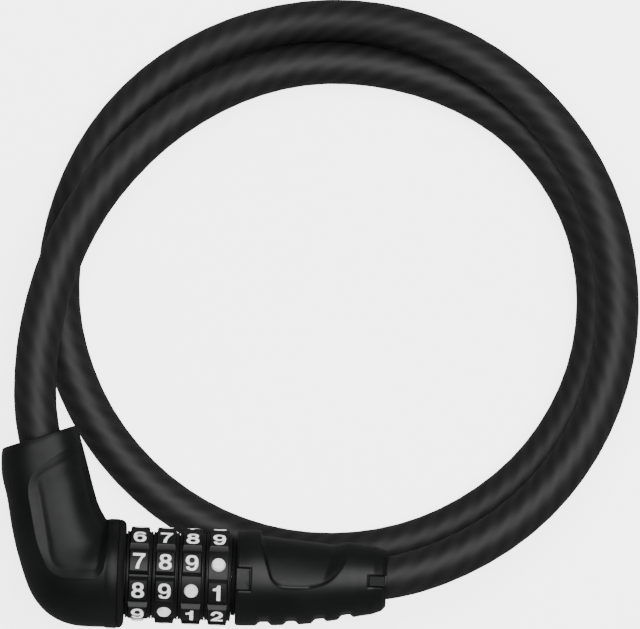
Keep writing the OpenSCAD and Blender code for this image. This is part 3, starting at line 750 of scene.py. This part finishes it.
def housing_tabs(material):
    """The index plate behind the dials and the bush round the cable, each with its tab."""
    plate = rounded_steps([(-24.6, 5.7), (-24.6, 10.5), (-23.4, 10.5), (-23.4, 5.7)],
                          radius=0.1, steps=1)
    bush = rounded_steps([(11.4, 6.25), (11.4, 7.0), (17.2, 7.0), (17.2, 6.25)],
                         radius=0.15, steps=1)
    for node, ring, tab in (
            ("index_plate", ring_block(plate, sides=96), tab_block(INDEX_TAB, foot=10.0, top=13.3)),
            ("cable_bush", ring_block(bush, sides=96, middle=BUSH_MIDDLE),
             tab_block(BUSH_TAB, foot=6.6, top=9.75, fall=0.42))):
        piece = add_piece(f"{node}_and_tab", *joined([ring, tab]), material, crease=30)
        mount(piece, "housing", "trim_plastic", node)


# ---------------------------------------------------------------- dials

DIAL_BODIES = ["first_dial", "second_dial", "third_dial", "fourth_dial"]
STACK_X, PITCH, GAP = -55.7, 7.45, 0.2
DIAL_R, PAD_R = 12.35, 13.45
# Where the first dial's zero stands, and the step from one number to the next, in degrees
FIRST_ZERO, STEP = 90.0, 36.0
# One edge of a dial with its thin rim: distance from the edge and radius
DIAL_EDGE = [
    (-0.08, 9.1), (-0.08, 11.5), (0.0, 11.6), (0.0, 12.1), (0.1, 12.24), (0.25, 12.3),
    (0.4, 12.24), (0.5, 12.1), (0.68, 12.1), (0.8, 12.24), (1.0, DIAL_R),
]
# A number pad from its foot to its top: radius, half its angle and half its length
PAD_LAYERS = [
    (11.9, 18.4, 2.78), (12.33, 16.9, 2.76), (12.5, 16.3, 2.72), (13.28, 12.7, 2.56),
    (13.4, 12.15, 2.5), (PAD_R, 11.7, 2.4),
]
DIAL_SIDES, PAD_PARTS = 180, 8
FIGURE_HEIGHT, FIGURE_WIDTH, FIGURE_THICKNESS, FIGURE_STRIP = 4.5, 4.4, 0.18, 0.35
# The zero's dot from its foot to its crown: radius, and height above the dial
DOT = [
    (1.95, -0.6), (1.95, 0.06), (1.9, 0.14), (1.6, 0.66), (1.53, 0.7), (1.47, 0.56), (1.36, 0.5),
    (1.3, 0.64), (0.7, 0.72),
]
DOT_FOOT, DOT_CROWN, DOT_SIDES = -0.6, 0.75, 40


def dial_angle(i, number=0):
    """Angle at which a number stands on a dial, in degrees."""
    return FIRST_ZERO + STEP * (number - i)


def pad_mesh():
    """One number pad, pointing up from the axis at the origin: a crowned top with bevelled edges."""
    layers = []
    for r, half_angle, half_length in PAD_LAYERS:
        turn = math.radians(half_angle)
        rim = divided([(-half_length, -turn), (half_length, -turn), (half_length, turn),
                       (-half_length, turn)], PAD_PARTS)
        layers.append(np.stack([rim[:, 0], r * np.sin(rim[:, 1]), r * np.cos(rim[:, 1])], axis=1))
    points, count = np.concatenate(layers), len(layers[0])
    faces = grid_faces(len(layers), count)
    # the top is closed by a grid that follows the pad's curve, the foot by one face
    rim = (len(layers) - 1) * count + np.arange(count)
    side = PAD_PARTS
    grid = np.zeros((side + 1, side + 1), int)
    grid[0], grid[-1] = rim[:side + 1], rim[3 * side:2 * side - 1:-1]
    grid[1:-1, 0], grid[1:-1, -1] = rim[:3 * side:-1], rim[side + 1:2 * side]
    grid[1:-1, 1:-1] = len(points) + np.arange((side - 1) ** 2).reshape(side - 1, side - 1)
    a, b = points[grid[1:-1, 0]][:, None], points[grid[1:-1, -1]][:, None]
    shares = np.arange(1, side)[None, :, None] / side
    cells = grid.ravel().tolist()
    faces += [tuple(cells[k] for k in face)
              for face in grid_faces(side + 1, side + 1, close_columns=False)]
    faces.append(tuple(range(count))[::-1])
    mesh = add_mesh("number_pad", np.concatenate([points, (a + (b - a) * shares).reshape(-1, 3)]), faces)
    face_outwards(mesh)
    return mesh


def pads_recipe():
    """Pads set round the bolt's axis at even steps, leaving the place of the zero free."""
    r = Recipe("pads_round_a_dial", Pad="Object", Pads="Int", Step="Float", First="Float",
               Middle="Float", Axis_Y="Float", Axis_Z="Float")
    centre = r.node("ShaderNodeCombineXYZ", {
        0: r.input("Middle"), 1: r.input("Axis Y"), 2: r.input("Axis Z")}).outputs[0]
    points = r.node("GeometryNodePoints", {"Count": r.input("Pads"), "Position": centre}).outputs[0]
    order = r.node("GeometryNodeInputIndex").outputs[0]
    turn = r.math("ADD", r.math("MULTIPLY", order, r.input("Step")), r.input("First"))
    spin = r.node("ShaderNodeCombineXYZ", {0: turn}).outputs[0]
    pad = r.node("GeometryNodeObjectInfo", {"Object": r.input("Pad")}).outputs["Geometry"]
    placed = r.node("GeometryNodeInstanceOnPoints", {
        "Points": points, "Instance": pad, "Rotation": spin}).outputs[0]
    both = r.node("GeometryNodeJoinGeometry")
    r.tree.links.new(placed, both.inputs[0])
    r.tree.links.new(r.input("Geometry"), both.inputs[0])
    return r.finish(both.outputs[0])


def dial_ring(i, material, recipe, pad):
    """One dial: a ring with a thin rim at each edge and nine pads with sloping flanks."""
    length = PITCH - GAP
    left = STACK_X + i * PITCH + GAP / 2
    half = DIAL_EDGE + [(length / 2, DIAL_R)]
    profile = half + [(length - u, r) for u, r in reversed(half[:-1])]
    blank = add_mesh("dial_blank", *ring_block([(left + u, r) for u, r in profile], DIAL_SIDES))
    name = f"dial_ring_{i + 1}"
    mesh = recipe.cook(name, blank, material, Pad=pad, Pads=9, Step=math.radians(STEP),
                       First=math.radians(dial_angle(i, 1)), Middle=(left + length / 2) * MM,
                       Axis_Y=AXIS_Y * MM, Axis_Z=AXIS_Z * MM)
    shade(mesh, crease=24)
    mount(add_object(name, mesh), DIAL_BODIES[i], "dial_plastic", f"dial_{i + 1}")


# Outlines of the figures, one unit high; a point with a third number is a sharp corner
FIGURES = {
    1: [[(-0.05, 0, 1), (0.18, 0, 1), (0.18, 1, 1), (0.0, 1, 1), (-0.05, 0.9), (-0.15, 0.82),
         (-0.3, 0.79, 1), (-0.3, 0.655, 1), (-0.05, 0.655, 1)]],
    2: [[(-0.39, 0, 1), (0.39, 0, 1), (0.39, 0.165, 1), (-0.06, 0.165, 1), (0.03, 0.25), (0.19, 0.37),
         (0.33, 0.51), (0.385, 0.69), (0.33, 0.87), (0.19, 0.97), (0, 1), (-0.2, 0.97), (-0.34, 0.86),
         (-0.385, 0.655, 1), (-0.175, 0.635, 1), (-0.125, 0.79), (0, 0.85), (0.125, 0.8), (0.17, 0.69),
         (0.12, 0.57), (-0.05, 0.43), (-0.26, 0.25), (-0.365, 0.11)]],
    3: [[(-0.39, 0.27, 1), (-0.33, 0.11), (-0.19, 0.025), (0, 0), (0.21, 0.03), (0.35, 0.135),
         (0.395, 0.29), (0.35, 0.44), (0.235, 0.525), (0.33, 0.61), (0.365, 0.735), (0.31, 0.885),
         (0.17, 0.975), (-0.01, 1), (-0.19, 0.965), (-0.31, 0.87), (-0.365, 0.72, 1),
         (-0.165, 0.69, 1), (-0.11, 0.81), (0, 0.855), (0.11, 0.815), (0.15, 0.72), (0.1, 0.625),
         (-0.09, 0.585, 1), (-0.09, 0.44, 1), (0.09, 0.425), (0.18, 0.29), (0.13, 0.185), (0, 0.14),
         (-0.12, 0.185), (-0.18, 0.3, 1)]],
    4: [[(0.09, 0, 1), (0.29, 0, 1), (0.29, 0.22, 1), (0.41, 0.22, 1), (0.41, 0.38, 1),
         (0.29, 0.38, 1), (0.29, 1, 1), (0.1, 1, 1), (-0.41, 0.38, 1), (-0.41, 0.22, 1),
         (0.09, 0.22, 1)],
        [(0.09, 0.38, 1), (0.09, 0.72, 1), (-0.19, 0.38, 1)]],
    5: [[(-0.32, 1, 1), (0.34, 1, 1), (0.34, 0.83, 1), (-0.17, 0.83, 1), (-0.205, 0.655, 1),
         (-0.1, 0.69), (0.03, 0.695), (0.22, 0.65), (0.355, 0.53), (0.395, 0.34), (0.34, 0.14),
         (0.18, 0.025), (-0.02, 0), (-0.2, 0.03), (-0.33, 0.12), (-0.395, 0.265, 1),
         (-0.18, 0.29, 1), (-0.12, 0.18), (-0.01, 0.14), (0.12, 0.19), (0.175, 0.335), (0.12, 0.48),
         (0, 0.53), (-0.11, 0.505), (-0.18, 0.445, 1), (-0.385, 0.465, 1)]],
    7: [[(-0.39, 1, 1), (0.4, 1, 1), (0.4, 0.86, 1), (0.23, 0.66), (0.1, 0.41), (0.035, 0.17),
         (0.02, 0, 1), (-0.2, 0, 1), (-0.165, 0.22), (-0.06, 0.46), (0.06, 0.67), (0.18, 0.83, 1),
         (-0.39, 0.83, 1)]],
    8: [[(0, 0), (0.17, 0.015), (0.31, 0.08), (0.39, 0.18), (0.4, 0.295), (0.36, 0.41), (0.255, 0.52),
         (0.33, 0.615), (0.36, 0.73), (0.32, 0.875), (0.2, 0.97), (0, 1), (-0.2, 0.97),
         (-0.32, 0.875), (-0.36, 0.73), (-0.33, 0.615), (-0.255, 0.52), (-0.36, 0.41),
         (-0.4, 0.295), (-0.39, 0.18), (-0.31, 0.08), (-0.17, 0.015)],
        [(0.19, 0.285), (0.13, 0.385), (0, 0.425), (-0.13, 0.385), (-0.19, 0.285), (-0.13, 0.175),
         (0, 0.135), (0.13, 0.175)],
        [(0.155, 0.725), (0.105, 0.825), (0, 0.86), (-0.105, 0.825), (-0.155, 0.725),
         (-0.105, 0.63), (0, 0.59), (0.105, 0.63)]],
    9: [[(-0.4, 0.66), (-0.365, 0.82), (-0.27, 0.935), (-0.13, 0.99), (0, 1), (0.17, 0.97),
         (0.31, 0.87), (0.385, 0.7), (0.4, 0.5), (0.375, 0.28), (0.29, 0.11), (0.16, 0.02),
         (-0.02, 0), (-0.19, 0.03), (-0.31, 0.11), (-0.37, 0.23, 1), (-0.17, 0.26, 1),
         (-0.12, 0.165), (-0.01, 0.135), (0.11, 0.17), (0.175, 0.27), (0.195, 0.42), (0.1, 0.365),
         (-0.03, 0.34), (-0.19, 0.365), (-0.32, 0.455), (-0.385, 0.55)],
        [(-0.185, 0.665), (-0.14, 0.8), (0, 0.855), (0.14, 0.8), (0.185, 0.67), (0.14, 0.53),
         (0, 0.475), (-0.14, 0.53)]],
}
FIGURES[6] = [[(-p[0], 1 - p[1], *p[2:]) for p in ring] for ring in FIGURES[9]]


def smooth_outline(points, steps=5):
    """A closed outline through points, curved but for its sharp corners."""
    count, outline = len(points), []
    for k in range(count):
        a, b, c, d = (points[(k + m) % count] for m in (-1, 0, 1, 2))
        if len(b) > 2 and len(c) > 2:
            outline.append(b[:2])
            continue
        a = b if len(b) > 2 else a
        d = c if len(c) > 2 else d
        rows = np.array([a[:2], b[:2], c[:2], d[:2]])
        outline.extend(curve_value(rows, 1 + np.arange(steps) / steps).tolist())
    return outline


def figure_block(number):
    """Points and faces of a flat figure, cut into narrow strips so that it can bend."""
    curve = bpy.data.curves.new(f"figure_{number}", "CURVE")
    curve.dimensions = "2D"
    curve.fill_mode = "BOTH"
    curve.extrude = FIGURE_THICKNESS / 2
    for ring in FIGURES[number]:
        outline = smooth_outline(ring)
        spline = curve.splines.new("POLY")
        spline.points.add(len(outline) - 1)
        for point, (x, y) in zip(spline.points, outline):
            point.co = (x * FIGURE_WIDTH, (y - 0.5) * FIGURE_HEIGHT, 0, 1)
        spline.use_cyclic_u = True
    holder = add_object(curve.name, curve)
    mesh = bpy.data.meshes.new_from_object(holder.evaluated_get(bpy.context.evaluated_depsgraph_get()))
    bpy.data.objects.remove(holder)
    bpy.data.curves.remove(curve)
    work = bmesh.new()
    work.from_mesh(mesh)
    bpy.data.meshes.remove(mesh)
    bmesh.ops.remove_doubles(work, verts=work.verts, dist=1e-4)
    for level in np.arange(-FIGURE_HEIGHT / 2 + FIGURE_STRIP, FIGURE_HEIGHT / 2, FIGURE_STRIP):
        bmesh.ops.bisect_plane(work, geom=work.verts[:] + work.edges[:] + work.faces[:],
                               plane_co=(0, level, 0), plane_no=(0, 1, 0), dist=1e-5)
    bmesh.ops.recalc_face_normals(work, faces=work.faces)
    work.verts.index_update()
    points = np.array([v.co[:] for v in work.verts])
    faces = [tuple(v.index for v in face.verts) for face in work.faces]
    work.free()
    return points, faces


def bend_on(points, x, angle, radius):
    """Lays points drawn flat, X right and Y up, on a cylinder round the bolt's axis."""
    around = math.radians(angle) - points[:, 1] / radius
    return on_axis(x + points[:, 0], radius + points[:, 2], around)


def dot_block(middle, angle):
    """Points and faces of the crowned dot that stands for zero, with a groove round its crown."""
    turns = np.arange(DOT_SIDES) * TAU / DOT_SIDES
    dot = np.array([[r * math.cos(t), r * math.sin(t), h] for r, h in DOT for t in turns])
    dot = np.concatenate([dot, [[0, 0, DOT_CROWN], [0, 0, DOT_FOOT]]])
    angle = math.radians(angle)
    radial = np.array([0, -math.sin(angle), math.cos(angle)])
    up = np.array([0, math.cos(angle), math.sin(angle)])
    centre = np.array([middle, AXIS_Y, AXIS_Z]) + DIAL_R * radial
    points = centre + dot[:, :1] * np.array([1, 0, 0]) + dot[:, 1:2] * up + dot[:, 2:] * radial
    faces = grid_faces(len(DOT), DOT_SIDES)
    crown = len(DOT) * DOT_SIDES
    last = crown - DOT_SIDES
    for t in range(DOT_SIDES):
        after = (t + 1) % DOT_SIDES
        faces += [(last + t, last + after, crown), (after, t, crown + 1)]
    return points, faces


def dial_figures(i, material, shapes):
    """The white figures and the white dot of one dial, as one piece."""
    middle = STACK_X + i * PITCH + PITCH / 2
    blocks = [(bend_on(flat, middle, dial_angle(i, n), PAD_R), faces)
              for n, (flat, faces) in shapes.items()]
    blocks.append(dot_block(middle, dial_angle(i)))
    piece = add_piece(f"dial_figures_{i + 1}", *joined(blocks), material, crease=30)
    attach(piece, DIAL_BODIES[i])


# ---------------------------------------------------------------- light and floor

def light_the_table():
    """A white table, an even white room and one large soft light above."""
    mesh = bpy.data.meshes.new("table")
    mesh.from_pydata([(-3, -3, 0), (3, -3, 0), (3, 3, 0), (-3, 3, 0)], [], [(0, 1, 2, 3)])
    mesh.materials.append(table_paper())
    table = add_object("table", mesh)
    table.visible_glossy = False
    world = bpy.data.worlds.new("studio")
    world.use_nodes = True
    background = world.node_tree.nodes["Background"]
    background.inputs["Color"].default_value = (1, 1, 1, 1)
    background.inputs["Strength"].default_value = 0.19
    bpy.context.scene.world = world
    lamp = bpy.data.lights.new("top_softbox", "AREA")
    lamp.shape = "RECTANGLE"
    lamp.size, lamp.size_y = 1.0, 0.95
    lamp.energy = 22.5
    softbox = add_object("top_softbox", lamp)
    place, aim = Vector((0.17, 0.16, 1.1)), Vector((0, -0.02, 0))
    softbox.location = place
    softbox.rotation_euler = (aim - place).to_track_quat("-Z", "Y").to_euler()


# ---------------------------------------------------------------- put together

place_camera()
lay_cable(cable_plastic())

cover_black = moulded_plastic("cover_plastic", (0.0036, 0.0039, 0.0039), (0.0054, 0.0058, 0.0058),
                              0.39, specular=0.2)
elbow_black = moulded_plastic("elbow_plastic", (0.0042, 0.0045, 0.0045), (0.0062, 0.0066, 0.0066),
                              0.41, specular=0.145)
trim_black = moulded_plastic("trim_plastic", (0.0065, 0.0068, 0.0070), (0.0094, 0.0098, 0.0099), 0.45)
dial_black = moulded_plastic("dial_plastic", (0.0048, 0.0050, 0.0052), (0.0070, 0.0072, 0.0074),
                             0.42, grain=0.15, specular=0.24)
ring_black = moulded_plastic("ring_rubber", (0.0035, 0.0037, 0.0038), (0.0055, 0.0057, 0.0058),
                             0.7, grain=0.5, specular=0.12)
white = white_print()
steel = metal("steel", (0.58, 0.59, 0.6), (0.42, 0.43, 0.44), 0.26, streaks=(0.05, 1, 1))
rope_steel = metal("rope_steel", (0.55, 0.56, 0.57), (0.35, 0.36, 0.37), 0.34)
zinc = metal("cast_zinc", (0.46, 0.47, 0.48), (0.34, 0.35, 0.36), 0.44, cast=0.3)
brass = metal("brass", (0.7, 0.5, 0.2), (0.55, 0.38, 0.14), 0.3)

elbow_shell(elbow_black)
elbow_face_ring(ring_black)
neck(ring_black)
housing_shell(cover_black)
housing_tabs(trim_black)
pad = add_object("number_pad", pad_mesh())
pads = pads_recipe()
for i in range(4):
    dial_ring(i, dial_black, pads, pad)
bpy.data.objects.remove(pad)
shapes = {n: figure_block(n) for n in range(1, 10)}
for i in range(4):
    dial_figures(i, white, shapes)

# What the solids inside the lock are made of
for material, names in (
        (steel, ["bolt_shank", "bolt_cross_pin", "lock_barrel", "detent_spring_strip", "barrel_pin",
                 "elbow_grub_screw", "housing_grub_screw", "elbow_ferrule", "housing_ferrule"]),
        (rope_steel, ["elbow_rope_end", "housing_rope_end"]),
        (zinc, ["elbow_core", "housing_core"]),
        (brass, ["tumbler_1", "tumbler_2", "tumbler_3", "tumbler_4"]),
        (trim_black, ["barrel_end_washer"])):
    for name in names:
        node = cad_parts[name]
        node.data.materials.clear()
        node.data.materials.append(material)

light_the_table()
